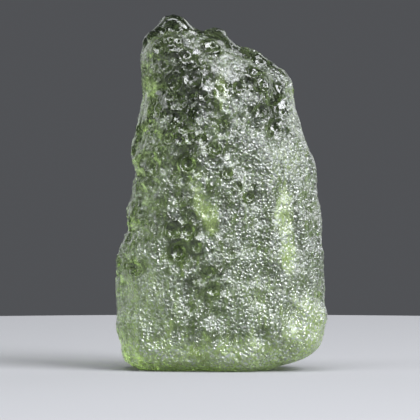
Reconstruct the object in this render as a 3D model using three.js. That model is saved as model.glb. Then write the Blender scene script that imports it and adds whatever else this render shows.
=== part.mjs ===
// Moldavite: one solid piece of green natural glass, etched all over with round pits.
// It stands upright on a small flat spot at the middle of its lower edge.
// Millimetres, +Z up. The broad front looks along -Y, and +X is on the right of someone facing it.
import * as THREE from "three";

const { clamp, lerp, smoothstep } = THREE.MathUtils;

// Height, and thickness measured each way from the rim, where front and back meet
const HEIGHT = 28.3;
const FRONT_DEPTH = { foot: 4.9, top: 3.7 };
const BACK_DEPTH = { foot: 5.1, top: 3.5 };

// How far in from the silhouette front and back are rounded, which is less at the foot, and how bluntly
const ROUNDING = { footReach: 2.6, sideReach: 5.2, footHeight: 6, power: 2.3 };

// The rim isn't flat: the stone is a little twisted and bowed, like a bent flake
const TWIST = 0.006; // millimetres of depth for each millimetre of x and of height
const BOW = 0.8;

// Resting spot: what lies below the plane z = 0 is taken off flat
const FOOT_CUT = 0.3;

// The front is two broad facets that meet in a soft upright ridge, and the back is one hollowed facet
const RIDGE = { x: -0.6, lean: -0.03, facetFall: 0.13, softness: 1.0 };
const BACK_HOLLOW = { x: 1.0, z: 15, reachX: 4.5, reachZ: 8, depth: 0.9 };

// A dark groove runs down beside the right shoulder, and shallow flutes run down the right facet
const GROOVE = { x: 4.6, bottom: 18.4, fade: 1.2, halfWidth: 0.7, depth: 0.9 };
const FLUTES = { start: 0, fade: 3, pitch: 2.7, lean: 0.06, depth: 0.14 };

// Smooth knobs along the top stand behind the front, which ends in a lower edge: [x, z] points of that edge
const KNOBS = { front: 0.9, softness: 0.6 }; // how far before the rim they start, and how soft that step is
const FRONT_TOP = [
  [-7.0, 25.6],
  [-4.6, 26.9],
  [-2.6, 27.0],
  [-0.8, 26.5],
  [1.0, 25.4],
  [3.2, 24.3],
  [6.0, 22.9],
];

// Slow swells of the whole surface
const SWELL = { height: 0.14, lengthX: 5.3, lengthY: 7.1, lengthZ: 6.4 };

// Spacing of the grid that the surface is taken from, which is wider through the stone.
// The grid is turned, so that no row of facets is level or upright and no broad face lies along it.
const CELL = new THREE.Vector3(0.54, 0.8, 0.54);
const GRID_TURN = new THREE.Quaternion().setFromEuler(new THREE.Euler(0.22, 0.6, 0.16));
const OUTWARD_STEP = 0.3; // reach of the slopes that say which way is out of the stone

// Large pits. Smaller ones are too fine for these facets.
const PIT_SEED = 41;
const PIT_COUNT = 170;
const PIT_TRIES = 9000;
const PIT_RADIUS = { least: 0.85, most: 1.6 };
const PIT_DEPTH = { face: 0.3, rim: 0.18 }; // shares of the pit's radius
const PIT_SPACING = 0.8; // of the two radii added, so that neighbours share a sharp edge
const RIM_WIDTH = 1.5; // pits this near the rim are the shallower ones

// Pits of the front that can be told apart: [x, z, radius]
const FRONT_PITS = [
  [-3.0, 23.6, 1.15],
  [-3.1, 21.7, 1.05],
  [-4.8, 24.8, 0.95],
  [-0.7, 22.9, 0.95],
  [-3.3, 19.7, 1.0],
  [-5.1, 18.8, 0.95],
  [-2.6, 16.8, 0.95],
  [-3.5, 14.1, 0.95],
  [-2.6, 12.0, 1.2],
  [-3.5, 9.6, 1.0],
  [-5.6, 13.2, 0.95],
  [-6.0, 8.2, 0.95],
  [-1.2, 7.9, 1.0],
  [1.8, 16.2, 0.95],
];

// Silhouette seen from the front, as [x, z] points that a smooth closed curve passes through
const LEFT_EDGE = [
  [-7.8, 0.8],
  [-8.15, 2.5],
  [-8.5, 3.5],
  [-8.35, 4.6],
  [-8.4, 7.6],
  [-8.2, 9.6],
  [-7.6, 11.0],
  [-7.45, 13.1],
  [-7.12, 14.3],
  [-7.2, 17.4],
  [-6.7, 19.8],
  [-6.35, 21.7],
  [-6.52, 22.9],
  [-6.3, 25.2],
];
const TOP_EDGE = [
  [-6.05, 26.6],
  [-5.0, 27.6],
  [-3.7, HEIGHT],
  [-2.75, 27.8],
  [-1.75, 27.1],
  [-0.9, 27.45],
  [0.1, 27.3],
  [1.45, 25.95],
  [2.4, 25.6],
  [3.9, 24.6],
  [4.75, 24.2],
];
const RIGHT_EDGE = [
  [5.4, 23.65],
  [5.72, 22.6],
  [5.7, 21.4],
  [6.5, 19.8],
  [6.72, 18.7],
  [7.2, 17.6],
  [7.7, 14.4],
  [8.08, 11.0],
  [8.2, 8.0],
  [8.25, 5.3],
  [8.55, 4.3],
  [8.15, 2.6],
];
const FOOT_EDGE = [
  [7.55, 1.5],
  [6.4, 0.8],
  [4.6, 0.4],
  [3.0, -FOOT_CUT],
  [-1.0, -FOOT_CUT],
  [-5.0, -FOOT_CUT],
  [-6.7, 0.2],
];
const OUTLINE_STEPS = 220; // straight steps that the curve is measured by
const OUTLINE_SPARE = 0.05; // added all round for what facets and pits take off the rim

const edges = [...LEFT_EDGE, ...TOP_EDGE, ...RIGHT_EDGE, ...FOOT_EDGE];
const edgePoints = edges.map(([x, z]) => new THREE.Vector3(x, 0, z));
const outline = new THREE.CatmullRomCurve3(edgePoints, true).getSpacedPoints(OUTLINE_STEPS);

// Distance from the silhouette's edge, in the plane of the picture: positive inside, negative outside
function insetOf(x, z) {
  let nearest = Infinity;
  let inside = false;
  for (let step = 0; step < OUTLINE_STEPS; step += 1) {
    const from = outline[step];
    const to = outline[step + 1];
    const runX = to.x - from.x;
    const runZ = to.z - from.z;
    const share = clamp(((x - from.x) * runX + (z - from.z) * runZ) / (runX ** 2 + runZ ** 2), 0, 1);
    nearest = Math.min(nearest, Math.hypot(from.x + share * runX - x, from.z + share * runZ - z));
    if (from.z > z !== to.z > z && x < from.x + (runX * (z - from.z)) / runZ) {
      inside = !inside;
    }
  }
  return inside ? nearest : -nearest;
}

const bump = (distance, reach) => Math.exp(-((distance / reach) ** 2));

// The larger of two values, with the corner where they meet rounded off
function softMax(first, second, softness) {
  const meet = Math.max(softness - Math.abs(first - second), 0);
  return Math.max(first, second) + meet ** 2 / (4 * softness);
}

// How far the two front facets fall back behind the ridge
function facetFall(x, z) {
  const off = x - RIDGE.x - RIDGE.lean * z;
  return RIDGE.facetFall * (Math.hypot(off, RIDGE.softness) - RIDGE.softness);
}

function grooveDepth(x, z) {
  const along = smoothstep(z, GROOVE.bottom - GROOVE.fade, GROOVE.bottom + GROOVE.fade);
  return GROOVE.depth * along * bump(x - GROOVE.x, GROOVE.halfWidth);
}

function fluteDepth(x, z) {
  const turn = (2 * Math.PI * (x + FLUTES.lean * z)) / FLUTES.pitch;
  return FLUTES.depth * smoothstep(x, FLUTES.start, FLUTES.start + FLUTES.fade) * Math.sin(turn);
}

function frontDepth(x, z) {
  const plain = lerp(FRONT_DEPTH.foot, FRONT_DEPTH.top, clamp(z / HEIGHT, 0, 1));
  return plain - facetFall(x, z) - grooveDepth(x, z) - fluteDepth(x, z);
}

function backDepth(x, z) {
  const plain = lerp(BACK_DEPTH.foot, BACK_DEPTH.top, clamp(z / HEIGHT, 0, 1));
  const level = bump(z - BACK_HOLLOW.z, BACK_HOLLOW.reachZ);
  return plain - BACK_HOLLOW.depth * level * bump(x - BACK_HOLLOW.x, BACK_HOLLOW.reachX);
}

// Depth of the rim itself, from the twist and the bow
function rimDepth(x, z) {
  const rise = z - HEIGHT / 2;
  return TWIST * x * rise + BOW * ((2 * rise) / HEIGHT) ** 2;
}

// Height of the front's own top edge
function frontTop(x) {
  const next = clamp(FRONT_TOP.findIndex(([edgeX]) => edgeX > x), 1, FRONT_TOP.length - 1);
  const [fromX, fromZ] = FRONT_TOP[next - 1];
  const [toX, toZ] = FRONT_TOP[next];
  return lerp(fromZ, toZ, clamp((x - fromX) / (toX - fromX), 0, 1));
}

function swell({ x, y, z }) {
  const across = Math.sin(2 * Math.PI * (x / SWELL.lengthX + y / SWELL.lengthY));
  return SWELL.height * across * Math.cos((2 * Math.PI * z) / SWELL.lengthZ);
}

// The stone before it is pitted: below zero inside, above zero outside, roughly in millimetres
function plainStone(point) {
  const { x, y, z } = point;
  const offRim = y - rimDepth(x, z);
  const depth = offRim < 0 ? frontDepth(x, z) : backDepth(x, z);
  const reach = lerp(ROUNDING.footReach, ROUNDING.sideReach, smoothstep(z, 0, ROUNDING.footHeight));
  const toRim = Math.max(1 - (insetOf(x, z) + OUTLINE_SPARE) / reach, 0);
  const powers = toRim ** ROUNDING.power + Math.abs(offRim / depth) ** ROUNDING.power;
  const body = (powers ** (1 / ROUNDING.power) - 1) * depth + swell(point);
  const beforeKnobs = -softMax(frontTop(x) - z, KNOBS.front + offRim, KNOBS.softness);
  return Math.max(softMax(body, beforeKnobs, KNOBS.softness), -z);
}

// Direction straight out of the stone, along which its field grows fastest
function outwards(point) {
  const slope = (step) => plainStone(point.clone().add(step)) - plainStone(point.clone().sub(step));
  const slopeX = slope(new THREE.Vector3(OUTWARD_STEP, 0, 0));
  const slopeY = slope(new THREE.Vector3(0, OUTWARD_STEP, 0));
  const slopeZ = slope(new THREE.Vector3(0, 0, OUTWARD_STEP));
  return new THREE.Vector3(slopeX, slopeY, slopeZ).normalize();
}

// A repeatable source of numbers from 0 to 1
function seededRandom(seed) {
  let state = seed;
  return () => {
    state = (state + 0x6d2b79f5) | 0;
    let mixed = Math.imul(state ^ (state >>> 15), 1 | state);
    mixed = (mixed + Math.imul(mixed ^ (mixed >>> 7), 61 | mixed)) ^ mixed;
    return ((mixed ^ (mixed >>> 14)) >>> 0) / 4294967296;
  };
}

// Centres and radii of the large pits: the named ones of the front first, then scattered ones
function choosePits(places) {
  const random = seededRandom(PIT_SEED);
  const pits = [];
  const front = places.filter((place) => place.y < rimDepth(place.x, place.z));
  for (const [x, z, radius] of FRONT_PITS) {
    const gap = (place) => Math.hypot(place.x - x, place.z - z);
    const centre = front.reduce((best, place) => (gap(place) < gap(best) ? place : best));
    pits.push({ centre, radius });
  }
  for (let tries = 0; tries < PIT_TRIES && pits.length < PIT_COUNT; tries += 1) {
    const centre = places[Math.floor(random() * places.length)];
    const radius = lerp(PIT_RADIUS.least, PIT_RADIUS.most, random() ** 2);
    const clear = (pit) => pit.centre.distanceTo(centre) > PIT_SPACING * (pit.radius + radius);
    if (centre.z > radius && pits.every(clear)) {
      pits.push({ centre, radius });
    }
  }
  return pits;
}

// How deep the pits are at a place on the surface
function pitDepth(place, pits) {
  const nearRim = bump(place.y - rimDepth(place.x, place.z), RIM_WIDTH);
  const share = lerp(PIT_DEPTH.face, PIT_DEPTH.rim, nearRim);
  const depthOf = ({ centre, radius }) => share * radius * (1 - (centre.distanceTo(place) / radius) ** 2);
  return Math.max(0, ...pits.map(depthOf));
}

// Edges of a grid cell, as pairs of corners. The bits of a corner's number are its steps along X, Y and Z.
const CELL_CORNERS = [0, 1, 2, 3, 4, 5, 6, 7];
const AXIS_BITS = [1, 2, 4];
const edgesFrom = (corner) => AXIS_BITS.filter((bit) => !(corner & bit)).map((bit) => [corner, corner | bit]);
const CELL_EDGES = CELL_CORNERS.flatMap(edgesFrom);

// The plain stone's field at every place of a turned grid, counted along X, then Y, then Z
function sampleGrid() {
  const unturned = GRID_TURN.clone().invert();
  const onAxis = outline.map((point) => point.clone().applyQuaternion(unturned));
  const box = new THREE.Box3().setFromPoints(onAxis).expandByScalar(BACK_DEPTH.foot + BOW);
  const counts = box.getSize(new THREE.Vector3()).divide(CELL).ceil().addScalar(1);
  const strides = [1, counts.x, counts.x * counts.y];
  const pointAt = (place) => {
    const steps = strides.map((stride) => Math.floor(place / stride));
    const cells = new THREE.Vector3(steps[0] % counts.x, steps[1] % counts.y, steps[2]);
    return cells.multiply(CELL).add(box.min).applyQuaternion(GRID_TURN);
  };
  const length = counts.x * counts.y * counts.z;
  const values = Array.from({ length }, (_, place) => plainStone(pointAt(place)));
  return { strides, pointAt, values, inside: (place) => values[place] < 0 };
}

// One point of the surface in each cell that it crosses, and that point's number for each of those cells
function surfacePoints({ strides, pointAt, values, inside }) {
  const taken = (corner) => strides.filter((_, axis) => corner & AXIS_BITS[axis]);
  const ahead = (corner) => taken(corner).reduce((sum, stride) => sum + stride, 0);
  const edgeSteps = CELL_EDGES.map((edge) => edge.map(ahead));
  const points = [];
  const numberOf = new Map();
  for (let cell = 0; cell < values.length; cell += 1) {
    const cellEdges = edgeSteps.map(([from, to]) => [cell + from, cell + to]);
    const crossed = cellEdges.filter(([from, to]) => inside(from) !== inside(to));
    if (crossed.length > 0) {
      const middle = new THREE.Vector3();
      for (const [from, to] of crossed) {
        middle.add(pointAt(from).lerp(pointAt(to), values[from] / (values[from] - values[to])));
      }
      numberOf.set(cell, points.length);
      points.push(middle.divideScalar(crossed.length));
    }
  }
  return { points, numberOf };
}

// Two triangles, facing out, across each grid edge that the surface crosses
function surfaceTriangles({ strides, values, inside }, { points, numberOf }) {
  const triangles = [];
  for (let place = 0; place < values.length; place += 1) {
    for (const [axis, stride] of strides.entries()) {
      if (inside(place) !== inside(place + stride)) {
        const next = strides[(axis + 1) % strides.length];
        const last = strides[(axis + 2) % strides.length];
        const cells = [place, place - next, place - next - last, place - last];
        const around = cells.map((cell) => numberOf.get(cell));
        const [a, b, c, d] = inside(place) ? around : around.reverse();
        const firstShorter = points[a].distanceTo(points[c]) < points[b].distanceTo(points[d]);
        triangles.push(...(firstShorter ? [a, b, c, a, c, d] : [a, b, d, b, c, d]));
      }
    }
  }
  return triangles;
}

function buildStone() {
  const grid = sampleGrid();
  const surface = surfacePoints(grid);
  const pits = choosePits(surface.points);
  const pitted = surface.points.map((place) => {
    const moved = outwards(place).multiplyScalar(-pitDepth(place, pits)).add(place);
    moved.z = Math.max(moved.z, 0);
    return moved;
  });
  const stone = new THREE.BufferGeometry().setFromPoints(pitted);
  stone.setIndex(surfaceTriangles(grid, surface));
  stone.computeBoundingBox();
  const middle = stone.boundingBox.getCenter(new THREE.Vector3());
  return stone.translate(-middle.x, -middle.y, -stone.boundingBox.min.z);
}

const greenGlass = new THREE.MeshStandardMaterial({ color: 0x5f7a3a, roughness: 0.25, metalness: 0 });
const moldavite = new THREE.Mesh(buildStone(), greenGlass);
moldavite.name = "moldavite";

const part = new THREE.Group();
part.add(moldavite);

export default part;
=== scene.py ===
import math

import bmesh
import bpy
import numpy as np
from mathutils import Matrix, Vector
from mathutils.kdtree import KDTree


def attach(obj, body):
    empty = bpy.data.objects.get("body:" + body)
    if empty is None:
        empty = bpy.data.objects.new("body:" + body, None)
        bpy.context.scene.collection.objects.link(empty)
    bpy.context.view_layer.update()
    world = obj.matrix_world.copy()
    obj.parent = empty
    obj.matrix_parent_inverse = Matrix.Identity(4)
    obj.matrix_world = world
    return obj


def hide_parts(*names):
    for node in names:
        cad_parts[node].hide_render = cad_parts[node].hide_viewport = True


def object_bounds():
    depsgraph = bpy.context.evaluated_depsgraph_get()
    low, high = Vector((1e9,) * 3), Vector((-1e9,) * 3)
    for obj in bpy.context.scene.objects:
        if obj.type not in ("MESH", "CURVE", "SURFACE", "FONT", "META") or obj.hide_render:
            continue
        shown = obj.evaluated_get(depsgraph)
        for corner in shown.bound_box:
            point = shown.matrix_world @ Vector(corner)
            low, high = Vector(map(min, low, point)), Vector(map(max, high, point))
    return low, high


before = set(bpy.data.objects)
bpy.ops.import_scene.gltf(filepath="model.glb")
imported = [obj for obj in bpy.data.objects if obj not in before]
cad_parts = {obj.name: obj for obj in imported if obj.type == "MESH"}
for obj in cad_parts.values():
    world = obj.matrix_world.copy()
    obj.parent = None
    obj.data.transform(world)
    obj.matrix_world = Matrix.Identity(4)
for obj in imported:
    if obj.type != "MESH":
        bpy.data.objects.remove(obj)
cad_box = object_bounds()

# Lengths are in metres. MM turns millimetres into metres.
MM = 0.001

# The fine surface: every edge of the solid is cut in four, and the facets are smoothed away by rounds of
# softening and then restoring the surface. Points below the foot's level stay on the ground.
EDGE_CUTS = 3
WELD = 0.002 * MM
SMOOTHING = {"rounds": 8, "soften": 0.5, "restore": -0.52}
FOOT_LEVEL = 0.02 * MM

# Knobs of the top, which the solid's facets leave pointed: where along x and how far their outline is
# lifted to a round one, in millimetres, and how wide and from what height on
KNOB_LIFTS = {-4.5: 0.14, -3.0: 0.24, 0.0: -0.16}
KNOB_ROUNDING = {"reach": 0.55 * MM, "from": 27.0 * MM, "full": 27.6 * MM}

# Clear places are softened further, and most where their frost is this low
POLISHING = {"rounds": 5, "frost": -0.3}

# Faces that meet more sharply than this once the pits are in are softened in rounds of a few steps
UNFOLDING = {"rounds": 8, "steps": 2, "sharpest": math.radians(60)}

# Pits pressed into the fine surface, most of them near the least radius. Share is a pit's depth, lip the
# height of the ring around it and apart the room around its centre, all as shares of its radius.
SEED = 7
PIT_SIZE_POWER = 2
MIDDLING_PITS = {"least": 0.3 * MM, "most": 0.7 * MM, "share": 0.42, "lip": 0.04, "apart": 1.35}
SMALL_PITS = {"least": 0.15 * MM, "most": 0.32 * MM, "share": 0.2, "lip": 0.0, "apart": 1.25}

# The ring's middle and half its width, as shares of the pit's radius
LIP = {"middle": 1.15, "half_width": 0.35}

# How likely a place is to hold a pit. Middling ones are likelier the further the frost is below full, up
# to a most, and there are none where it is clear or near a pit that stands out. Small ones are likelier
# with more frost, and with less than the least they are as likely as with the least.
MIDDLING_CHANCE = {"scale": 0.05, "full": 0.95, "most": 0.6, "clear": 0.15, "near": 0.1}
SMALL_CHANCE = {"scale": 0.4, "least": 0.3}

# Pits of the front that stand out: x, z and radius in millimetres. Clear glass lies around them, as far
# as so many radii, where this is added to the frost.
RING_PITS = {"share": 0.6, "lip": 0.14, "around": 1.9, "frost": -0.9}
FRONT_PITS = (
    (-4.9, 25.9, 0.60), (-4.1, 26.4, 0.40), (-3.5, 26.2, 0.35), (-2.9, 25.2, 0.50), (-0.7, 25.9, 0.55),
    (-3.7, 23.0, 0.60), (-2.2, 22.2, 0.35), (-1.4, 22.0, 0.40), (-0.7, 22.1, 0.30),
    (-4.2, 18.7, 0.45), (-3.3, 18.5, 0.40), (-2.5, 18.6, 0.45), (-1.6, 18.6, 0.35),
    (-0.5, 17.7, 0.45), (-2.6, 16.6, 0.60), (-3.8, 11.3, 0.60), (-2.6, 11.1, 0.60),
    (-3.4, 9.5, 0.60), (-2.0, 10.0, 0.45), (-1.0, 8.1, 0.40), (-6.9, 8.2, 0.60), (-0.6, 6.6, 0.45),
    (1.3, 22.6, 0.45), (2.5, 23.8, 0.45), (3.4, 22.8, 0.40), (3.0, 20.8, 0.50), (0.1, 19.8, 0.40),
    (0.5, 15.8, 0.40), (1.3, 14.8, 0.35), (2.1, 14.0, 0.40),
)

# Where the surface is frosted with fine pits, and how much light is painted into its tint, both from 0 to 1.
# The light mark is painted light and shade: high where a glow is painted, low where shade is painted, as on
# the knobs and a little in the band under the top edge. Across the front, frost grows from left to right,
# and a band of it lies under the top edge. Knobs stand above the line that the front's top follows, given as
# x and z in millimetres.
FRONT_FROST = {"left": 0.55, "right": 0.95, "from": -3.5 * MM, "to": 2.0 * MM}
FRONT_PAINTED_LIGHT = 0.33
BACK_FROST = 0.7
BACK_PAINTED_LIGHT = 0.7
FRONT_TO_BACK = 1.5 * MM
TOP_LINE = ((-7.0, 25.6), (-4.6, 26.9), (-2.6, 27.0), (-0.8, 26.5), (1.0, 25.4), (3.2, 24.3), (6.0, 22.9))
TOP_BAND = {"depth": 2.2 * MM, "frost": 0.1, "light": -0.05}
KNOBS = {"height": 0.4 * MM, "frost": -1.2, "light": -0.5}

# Patches of the front: the middle and the reach to each side and up and down, in millimetres, and how
# much frost and light they add, where added light is a painted glow and taken light is painted shade.
# They end at this many times their reach.
PATCH_END = 1.3
FRONT_PATCHES = {
    # Painted shade darkens the dark upper left
    "dark upper left": {"at": (-3.0, 22.8), "reach": (2.6, 4.0), "frost": -0.4, "light": -0.5},
    "upper left edge": {"at": (-5.7, 22.0), "reach": (1.0, 2.4), "frost": -0.5, "light": 0.1},
    "middle left edge": {"at": (-6.3, 17.6), "reach": (1.0, 3.4), "frost": -0.45, "light": 0.0},
    "upper glow": {"at": (0.0, 22.0), "reach": (0.9, 2.2), "frost": -0.4, "light": 0.4},
    "middle glow": {"at": (-2.2, 15.0), "reach": (1.0, 1.6), "frost": -0.1, "light": 0.4},
    "centre glow": {"at": (-1.5, 13.4), "reach": (0.8, 1.3), "frost": -0.25, "light": 0.65},
    "lower centre glow": {"at": (-0.8, 12.1), "reach": (0.8, 1.3), "frost": -0.25, "light": 0.75},
    # Painted shade darkens the groove, a recess
    "groove": {"at": (4.4, 20.9), "reach": (1.0, 3.2), "frost": -0.9, "light": -0.4},
    "upper right": {"at": (2.4, 22.6), "reach": (2.2, 3.0), "frost": -0.3, "light": -0.2},
    "lower right": {"at": (4.0, 6.0), "reach": (4.0, 5.0), "frost": 0.0, "light": 0.25},
    "right shoulder": {"at": (5.8, 21.6), "reach": (0.6, 2.4), "frost": 0.5, "light": 0.3},
    "right silver": {"at": (5.0, 16.4), "reach": (2.4, 2.4), "frost": 0.4, "light": 0.3},
    # The two streaks below carry a painted glow
    "upper right streak": {"at": (5.0, 12.6), "reach": (0.8, 2.0), "frost": 0.0, "light": 1.1},
    "lower right streak": {"at": (5.3, 9.6), "reach": (0.7, 1.8), "frost": -0.05, "light": 1.2},
    "left foot": {"at": (-5.8, 5.0), "reach": (3.0, 5.0), "frost": 0.7, "light": 0.35},
    # The foot band and the right foot carry a painted glow
    "foot band": {"at": (0.0, 0.8), "reach": (9.0, 2.2), "frost": 0.15, "light": 0.9},
    "right foot": {"at": (6.9, 3.2), "reach": (1.8, 2.8), "frost": 0.45, "light": 1.1},
}

# Glass: what is the same all over it, and what it absorbs
GLASS = {"IOR": 1.49, "Coat IOR": 2.2, "Coat Roughness": 0.18}
ABSORPTION = {"Color": (0.44, 0.57, 0.13, 1), "Density": 130.0}

# Colour of its surface by its painted light, from painted shade to a painted glow, and colour of the frost's
# white specks, which are pale frost painted a little blue as a sheen for its silvery glints
SHADE_TO_GLOW_TINTS = {0.0: (0.06, 0.075, 0.045, 1), 0.5: (0.30, 0.37, 0.20, 1), 1.0: (0.78, 0.98, 0.37, 1)}
FROST_SHEEN_COLOUR = (0.84, 0.88, 0.92, 1)

# Roughness, and the share of light that goes through, less in the white specks. A painted glow, from this
# much painted light on, lets less through, so that its tint shows as if lit from within.
ROUGHNESS = {"clear": 0.12, "frosted": 0.4}
THROUGH = {"clear": 0.98, "speck": 0.9}
PAINTED_GLOW = {"from": 0.5, "less": 0.08}

# Noise, by its scale for each millimetre. Its values lie mostly within this range. Blotches and upright
# streaks make frost and light uneven by these amounts. Specks grow between two levels of their noise, and
# with the frost from this much on.
NOISE_RANGE = (0.25, 0.75)
BLOTCHES = {"noise": {"Scale": 0.9, "Detail": 3.0}, "frost": 0.68}
STREAKS = {"noise": {"Scale": 3.0, "Detail": 3.0}, "squeeze": (1, 1, 0.15), "frost": -0.3, "light": 0.45}
SPECKS = {"noise": {"Scale": 5.0, "Detail": 3.0}, "levels": (0.48, 0.6), "frost_from": 0.3}

# Grain: very fine pits of two spacings, as so many in a millimetre. Their radius, in clear and frosted
# places, is a share of the spacing. Steepness is how strongly they bend the glass and its coat.
GRAIN = {"coarse": 2.8, "fine": 4.4, "clear": 0.2, "frosted": 0.52}
STEEPNESS = {"Normal": 0.25, "Coat Normal": 0.6}

# Shine inside the fine pits, which is full at this depth, and between them
COAT = {"between": 0.06, "pit": 1.0, "depth": 0.15}

# Camera, by the place of the photograph's middle on the stone, and how wide its view is there
CAMERA = {"distance": 0.5, "elevation": 2.0, "aim_x": -0.92 * MM, "aim_z": 12.78 * MM}
VIEW = {"width": 33.6 * MM, "near": 10 * MM}

# Floor disc, with two close shades in a fine speckle
FLOOR = {"radius": 85 * MM, "thickness": 2 * MM, "sides": 128, "speckle": 900.0}
FLOOR_SHADES = ((0.265, 0.265, 0.27, 1), (0.285, 0.285, 0.29, 1))

# Softboxes: the way they stand from the stone, in degrees to the right of the camera and upwards,
# how far off and how large they are, and how bright their faces are
SOFTBOXES = {
    "key": {"turn": 50, "lift": 38, "distance": 0.45, "size": (0.27, 0.27), "radiance": 18.0},
    "top": {"turn": -10, "lift": 72, "distance": 0.45, "size": (0.28, 0.22), "radiance": 9.5},
    "left": {"turn": -65, "lift": 22, "distance": 0.45, "size": (0.16, 0.30), "radiance": 5.0},
    "low": {"turn": 35, "lift": 8, "distance": 0.45, "size": (0.30, 0.10), "radiance": 10.5},
    "back right": {"turn": 135, "lift": 20, "distance": 0.45, "size": (0.36, 0.30), "radiance": 2.2},
    "back left": {"turn": -140, "lift": 20, "distance": 0.45, "size": (0.30, 0.30), "radiance": 1.3},
}
SOFTBOX_TINT = (0.94, 0.96, 1.0)
SURROUNDINGS = (0.082, 0.085, 0.092, 1)


def read_points(mesh):
    points = np.empty(len(mesh.vertices) * 3)
    mesh.vertices.foreach_get("co", points)
    return points.reshape(-1, 3)


def write_points(mesh, points):
    mesh.vertices.foreach_set("co", points.ravel())
    mesh.update()


def read_normals(mesh):
    normals = np.empty(len(mesh.vertices) * 3)
    mesh.vertex_normals.foreach_get("vector", normals)
    return normals.reshape(-1, 3)


def read_edges(mesh):
    edges = np.empty(len(mesh.edges) * 2, dtype=np.int64)
    mesh.edges.foreach_get("vertices", edges)
    return edges.reshape(-1, 2)


def soft_step(value):
    """Runs softly from 0 to 1."""
    value = np.clip(value, 0, 1)
    return value * value * (3 - 2 * value)


def cut_finer(source):
    """A copy of the solid's mesh with its corners welded and its edges cut."""
    mesh = bpy.data.meshes.new("moldavite_glass")
    fine = bmesh.new()
    fine.from_mesh(source.data)
    bmesh.ops.remove_doubles(fine, verts=fine.verts, dist=WELD)
    bmesh.ops.subdivide_edges(fine, edges=fine.edges, cuts=EDGE_CUTS, use_grid_fill=True)
    bmesh.ops.triangulate(fine, faces=fine.faces)
    fine.to_mesh(mesh)
    fine.free()
    mesh.shade_smooth()
    return mesh


def pull_together(mesh, steps, share=1.0):
    """Moves every point towards the middle of its neighbours, or away from it, and keeps the foot level."""
    points = read_points(mesh)
    edges = read_edges(mesh)
    foot = points[:, 2] < FOOT_LEVEL
    neighbours = np.bincount(edges.ravel(), minlength=len(points))[:, None]
    for step in steps:
        around = np.zeros_like(points)
        np.add.at(around, edges[:, 0], points[edges[:, 1]])
        np.add.at(around, edges[:, 1], points[edges[:, 0]])
        points += step * share * (around / neighbours - points)
        points[foot, 2] = 0
    write_points(mesh, points)


def smooth_facets(mesh):
    """Smooths the facets away without shrinking the stone."""
    pull_together(mesh, [SMOOTHING["soften"], SMOOTHING["restore"]] * SMOOTHING["rounds"])


def round_knobs(mesh):
    """Gives the knobs of the top a round outline."""
    points = read_points(mesh)
    rise = KNOB_ROUNDING["full"] - KNOB_ROUNDING["from"]
    share = soft_step((points[:, 2] - KNOB_ROUNDING["from"]) / rise)
    for x, lift in KNOB_LIFTS.items():
        near = np.exp(-((points[:, 0] - x * MM) / KNOB_ROUNDING["reach"]) ** 2)
        points[:, 2] += lift * MM * share * near
    write_points(mesh, np.clip(points, *cad_box))


def polish(mesh, frost):
    """Smooths the clear places further."""
    share = soft_step(frost / POLISHING["frost"])
    pull_together(mesh, [SMOOTHING["soften"]] * POLISHING["rounds"], share[:, None])


def unfold(mesh):
    """Smooths the few places where pits meet so steeply that the surface folds."""
    for _ in range(UNFOLDING["rounds"]):
        share = np.zeros(len(mesh.vertices))
        surface = bmesh.new()
        surface.from_mesh(mesh)
        for edge in surface.edges:
            if edge.calc_face_angle() > UNFOLDING["sharpest"]:
                for face in edge.link_faces:
                    share[[corner.index for corner in face.verts]] = 1
        surface.free()
        pull_together(mesh, [SMOOTHING["soften"]] * UNFOLDING["steps"], share[:, None])


def tree_of(points):
    tree = KDTree(len(points))
    for index, point in enumerate(points):
        tree.insert(point, index)
    tree.balance()
    return tree


def scatter_pits(points, rng, kind, chance):
    """Places for pits of one kind, scattered until there is no room for another."""
    tree = tree_of(points)
    taken = points[:, 2] < FOOT_LEVEL
    pits = []
    for site in rng.permutation(len(points)):
        radius = kind["least"] + (kind["most"] - kind["least"]) * rng.random() ** PIT_SIZE_POWER
        if taken[site] or rng.random() > chance[site]:
            continue
        pits.append((points[site], radius))
        for _, place, _ in tree.find_range(points[site], kind["apart"] * radius):
            taken[place] = True
    return pits


def place_front_pits(points):
    """The pits that stand out, each on the point of the front that is nearest to its place."""
    front = points[points[:, 1] < 0]
    pits = []
    for x, z, radius in FRONT_PITS:
        nearest = np.argmin(np.hypot(front[:, 0] - x * MM, front[:, 2] - z * MM))
        pits.append((front[nearest], radius * MM))
    return pits


def press_pits(mesh, pits, kind):
    """Presses round pits into the surface, each with a low ring around it."""
    points = read_points(mesh)
    tree = tree_of(points)
    reach = LIP["middle"] + LIP["half_width"]
    depth = np.zeros(len(points))
    ring = np.zeros(len(points))
    for middle, radius in pits:
        for _, place, gap in tree.find_range(middle, reach * radius):
            off = gap / radius
            off_lip = (off - LIP["middle"]) / LIP["half_width"]
            depth[place] = max(depth[place], kind["share"] * radius * (1 - off ** 2))
            ring[place] = max(ring[place], kind["lip"] * radius * (1 - off_lip ** 2))
    points -= read_normals(mesh) * (depth - ring * (depth == 0))[:, None]
    write_points(mesh, np.clip(points, *cad_box))


def mark_front(across, height):
    """How frosted the front is, and how much painted light and shade is in its tint, before pits and knobs.
    """
    step = soft_step((across - FRONT_FROST["from"]) / (FRONT_FROST["to"] - FRONT_FROST["from"]))
    frost = FRONT_FROST["left"] + (FRONT_FROST["right"] - FRONT_FROST["left"]) * step
    light = np.full_like(frost, FRONT_PAINTED_LIGHT)
    for patch in FRONT_PATCHES.values():
        off_x = (across / MM - patch["at"][0]) / patch["reach"][0]
        off_z = (height / MM - patch["at"][1]) / patch["reach"][1]
        share = soft_step(PATCH_END - np.hypot(off_x, off_z))
        frost += patch["frost"] * share
        light += patch["light"] * share
    return frost, light


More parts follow.
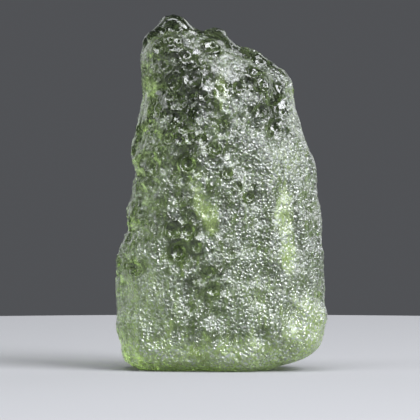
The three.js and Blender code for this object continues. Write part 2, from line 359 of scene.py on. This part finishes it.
def find_rings(across, height):
    """How near every place is to a pit that stands out, from 0 to 1."""
    ring = np.zeros_like(across)
    for x, z, radius in FRONT_PITS:
        off = np.hypot(across / MM - x, height / MM - z) / radius
        ring = np.maximum(ring, soft_step(RING_PITS["around"] - off))
    return ring


def find_top(across, height):
    """How near every place is to the front's top edge, and how far up the knobs, both from 0 to 1."""
    line_x, line_z = np.transpose(TOP_LINE) * MM
    under_top = np.interp(across, line_x, line_z) - height
    band = soft_step(1 - np.abs(under_top) / TOP_BAND["depth"])
    knob = soft_step(-under_top / KNOBS["height"])
    return band, knob


def mark_surface(mesh):
    """Notes on every corner of the mesh how frosted it is and how much painted light and shade is in its
    tint there.

    Gives the frost back, with the chances of middling and of small pits.
    """
    across, through, height = read_points(mesh).T
    frost, light = mark_front(across, height)
    ring = find_rings(across, height)
    band, knob = find_top(across, height)
    frost += RING_PITS["frost"] * ring
    frost += TOP_BAND["frost"] * band + KNOBS["frost"] * knob
    # Painted shade darkens the knobs, and the band under the top edge a little
    light += TOP_BAND["light"] * band + KNOBS["light"] * knob
    back = soft_step(0.5 + through / FRONT_TO_BACK)
    frost += (BACK_FROST - frost) * back
    light += (BACK_PAINTED_LIGHT - light) * back
    # The light mark is painted light and shade: a lighter tint for a painted glow, a darker one for painted
    # shade
    for name, values in {"frost": frost, "light": light}.items():
        mesh.attributes.new(name, "FLOAT", "POINT").data.foreach_set("value", values.astype(np.float32))
    hollow = np.clip(MIDDLING_CHANCE["full"] - frost, 0, MIDDLING_CHANCE["most"]) + band
    hollow *= (frost > MIDDLING_CHANCE["clear"]) * (1 - knob)
    hollow *= ring < MIDDLING_CHANCE["near"]
    middling = MIDDLING_CHANCE["scale"] * hollow
    small = SMALL_CHANCE["scale"] * np.maximum(frost, SMALL_CHANCE["least"]) * (1 - np.maximum(knob, ring))
    return frost, middling, small


def add_node(tree, kind, **settings):
    made = tree.nodes.new(kind)
    for name, value in settings.items():
        made.inputs[name].default_value = value
    return made


def feed(tree, socket, value):
    """Links a node's output to a socket, or sets a plain number on it."""
    if isinstance(value, bpy.types.NodeSocket):
        tree.links.new(value, socket)
    else:
        socket.default_value = value


def maths(tree, operation, first, second, clamp=False):
    made = tree.nodes.new("ShaderNodeMath")
    made.operation = operation
    made.use_clamp = clamp
    feed(tree, made.inputs[0], first)
    feed(tree, made.inputs[1], second)
    return made.outputs["Value"]


def spread(tree, value, least, most, low=0.0, high=1.0):
    """Runs from least to most as the value goes from low to high."""
    levels = {"From Min": low, "From Max": high, "To Min": least, "To Max": most}
    made = add_node(tree, "ShaderNodeMapRange", **levels)
    tree.links.new(value, made.inputs["Value"])
    return made.outputs["Result"]


def scaled(tree, place, scale):
    made = add_node(tree, "ShaderNodeMapping", Scale=scale)
    tree.links.new(place, made.inputs["Vector"])
    return made.outputs["Vector"]


def noise(tree, place, settings):
    made = add_node(tree, "ShaderNodeTexNoise", **settings)
    tree.links.new(place, made.inputs["Vector"])
    return made.outputs["Fac"]


def uneven(tree, pattern, amount):
    """Turns a noise into what it adds or takes away."""
    return spread(tree, pattern, -amount, amount, *NOISE_RANGE)


def mark(tree, name, unevenness):
    """One of the mesh's marks, made uneven."""
    made = tree.nodes.new("ShaderNodeAttribute")
    made.attribute_name = name
    return maths(tree, "ADD", made.outputs["Fac"], unevenness, clamp=True)


def colour_glass(tree, glass, frost, light, place):
    """Tints the glass by its painted light, from painted shade to a painted glow, with white specks in the
    frost as a painted sheen, and says how much light goes through.
    """
    tint = tree.nodes.new("ShaderNodeValToRGB")
    ramp = tint.color_ramp.elements
    first, *between, last = SHADE_TO_GLOW_TINTS.items()
    ramp[0].position, ramp[0].color = first
    ramp[1].position, ramp[1].color = last
    for position, colour in between:
        ramp.new(position).color = colour
    tree.links.new(light, tint.inputs["Fac"])
    # White specks in the frost: pale frost painted a little blue, a painted sheen for its silvery glints
    specks = spread(tree, noise(tree, place, SPECKS["noise"]), 0.0, 1.0, *SPECKS["levels"])
    frost_sheen_dots = maths(tree, "MULTIPLY", specks, spread(tree, frost, 0.0, 1.0, SPECKS["frost_from"]))
    speckled = tree.nodes.new("ShaderNodeMix")
    speckled.data_type = "RGBA"
    speckled.inputs["B"].default_value = FROST_SHEEN_COLOUR
    tree.links.new(frost_sheen_dots, speckled.inputs["Factor"])
    tree.links.new(tint.outputs["Color"], speckled.inputs["A"])
    tree.links.new(speckled.outputs["Result"], glass.inputs["Base Color"])
    plain = spread(tree, frost_sheen_dots, THROUGH["clear"], THROUGH["speck"])
    # A painted glow: where the painted light is high, less goes through and the tint shows as if lit from
    # within
    glow = spread(tree, light, 0.0, PAINTED_GLOW["less"], PAINTED_GLOW["from"])
    tree.links.new(maths(tree, "SUBTRACT", plain, glow), glass.inputs["Transmission Weight"])


def fine_pits(tree, place, scale, radius):
    """Depth of round pits about one cell apart, in cells, none beyond their radius."""
    cells = add_node(tree, "ShaderNodeTexVoronoi", Scale=scale)
    tree.links.new(place, cells.inputs["Vector"])
    squared = maths(tree, "POWER", cells.outputs["Distance"], 2.0)
    bowl = maths(tree, "SUBTRACT", radius, maths(tree, "DIVIDE", squared, radius))
    return maths(tree, "MAXIMUM", bowl, 0.0)


def grain_glass(tree, glass, frost, place):
    """Gives the glass its finest pits, which shine, and its roughness."""
    radius = spread(tree, frost, GRAIN["clear"], GRAIN["frosted"])
    coarse = fine_pits(tree, place, GRAIN["coarse"], radius)
    fine = fine_pits(tree, place, GRAIN["fine"], radius)
    relief = maths(tree, "ADD", coarse, maths(tree, "MULTIPLY", fine, GRAIN["coarse"] / GRAIN["fine"]))
    for socket, steepness in STEEPNESS.items():
        bump = add_node(tree, "ShaderNodeBump", Strength=1.0, Distance=steepness / GRAIN["coarse"] * MM)
        bump.invert = True
        tree.links.new(relief, bump.inputs["Height"])
        tree.links.new(bump.outputs["Normal"], glass.inputs[socket])
    shine = spread(tree, relief, COAT["between"], COAT["pit"], 0.0, COAT["depth"])
    tree.links.new(shine, glass.inputs["Coat Weight"])
    rough = spread(tree, frost, ROUGHNESS["clear"], ROUGHNESS["frosted"])
    tree.links.new(rough, glass.inputs["Roughness"])


def make_glass():
    """Green glass: clear, tinted by how deep the light goes, with painted light and shade in its surface
    tint, and with fine grain on its surface.
    """
    material = bpy.data.materials.new("moldavite_green_glass")
    material.use_nodes = True
    tree = material.node_tree
    glass = tree.nodes["Principled BSDF"]
    for name, value in GLASS.items():
        glass.inputs[name].default_value = value
    depth = add_node(tree, "ShaderNodeVolumeAbsorption", **ABSORPTION)
    tree.links.new(depth.outputs["Volume"], tree.nodes["Material Output"].inputs["Volume"])
    place = scaled(tree, tree.nodes.new("ShaderNodeTexCoord").outputs["Object"], (1 / MM, 1 / MM, 1 / MM))
    streaks = noise(tree, scaled(tree, place, STREAKS["squeeze"]), STREAKS["noise"])
    blotches = uneven(tree, noise(tree, place, BLOTCHES["noise"]), BLOTCHES["frost"])
    # light is the painted light and shade mark, made uneven by the streaks
    light = mark(tree, "light", uneven(tree, streaks, STREAKS["light"]))
    frost = mark(tree, "frost", maths(tree, "ADD", blotches, uneven(tree, streaks, STREAKS["frost"])))
    colour_glass(tree, glass, frost, light, place)
    grain_glass(tree, glass, frost, place)
    return material


def make_stone():
    rng = np.random.default_rng(SEED)
    mesh = cut_finer(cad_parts["moldavite"])
    smooth_facets(mesh)
    round_knobs(mesh)
    frost, middling, small = mark_surface(mesh)
    polish(mesh, frost)
    press_pits(mesh, scatter_pits(read_points(mesh), rng, MIDDLING_PITS, middling), MIDDLING_PITS)
    press_pits(mesh, scatter_pits(read_points(mesh), rng, SMALL_PITS, small), SMALL_PITS)
    press_pits(mesh, place_front_pits(read_points(mesh)), RING_PITS)
    unfold(mesh)
    mesh.materials.append(make_glass())
    stone = bpy.data.objects.new("moldavite_glass", mesh)
    bpy.context.scene.collection.objects.link(stone)
    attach(stone, "root")
    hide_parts("moldavite")


def make_floor():
    mesh = bpy.data.meshes.new("floor")
    disc = bmesh.new()
    bmesh.ops.create_cone(
        disc, cap_ends=True, segments=FLOOR["sides"], radius1=FLOOR["radius"], radius2=FLOOR["radius"],
        depth=FLOOR["thickness"],
    )
    disc.to_mesh(mesh)
    disc.free()
    material = bpy.data.materials.new("pale_floor")
    material.use_nodes = True
    tree = material.node_tree
    paint = tree.nodes["Principled BSDF"]
    paint.inputs["Specular IOR Level"].default_value = 0.0
    speckle = add_node(tree, "ShaderNodeTexNoise", Scale=FLOOR["speckle"])
    shade = tree.nodes.new("ShaderNodeValToRGB")
    for element, colour in zip(shade.color_ramp.elements, FLOOR_SHADES):
        element.color = colour
    tree.links.new(speckle.outputs["Fac"], shade.inputs["Fac"])
    tree.links.new(shade.outputs["Color"], paint.inputs["Base Color"])
    mesh.materials.append(material)
    floor = bpy.data.objects.new("floor", mesh)
    floor.location.z = -FLOOR["thickness"] / 2
    bpy.context.scene.collection.objects.link(floor)


def towards(turn, lift):
    """The direction that is turned to the right of the camera's side and lifted, both in degrees."""
    turn = math.radians(turn)
    lift = math.radians(lift)
    return Vector((math.sin(turn) * math.cos(lift), -math.cos(turn) * math.cos(lift), math.sin(lift)))


def make_lights(target):
    for name, box in SOFTBOXES.items():
        light = bpy.data.lights.new(name, "AREA")
        light.shape = "RECTANGLE"
        light.color = SOFTBOX_TINT
        light.size, light.size_y = box["size"]
        light.energy = box["radiance"] * math.pi * light.size * light.size_y
        lamp = bpy.data.objects.new(name, light)
        lamp.location = target + box["distance"] * towards(box["turn"], box["lift"])
        lamp.rotation_euler = (target - lamp.location).to_track_quat("-Z", "Y").to_euler()
        bpy.context.scene.collection.objects.link(lamp)
    world = bpy.data.worlds.new("surroundings")
    world.use_nodes = True
    world.node_tree.nodes["Background"].inputs["Color"].default_value = SURROUNDINGS
    bpy.context.scene.world = world


def make_camera():
    """Makes the camera and gives back the point that it looks at."""
    scene = bpy.context.scene
    target = Vector((CAMERA["aim_x"], 0, CAMERA["aim_z"]))
    camera = bpy.data.objects.new("camera", bpy.data.cameras.new("camera"))
    camera.location = target + CAMERA["distance"] * towards(0, CAMERA["elevation"])
    camera.rotation_euler = (target - camera.location).to_track_quat("-Z", "Y").to_euler()
    camera.data.lens = camera.data.sensor_width * CAMERA["distance"] / VIEW["width"]
    camera.data.clip_start = VIEW["near"]
    scene.collection.objects.link(camera)
    scene.camera = camera
    scene.view_settings.view_transform = "Standard"
    return target


make_stone()
make_floor()
make_lights(make_camera())
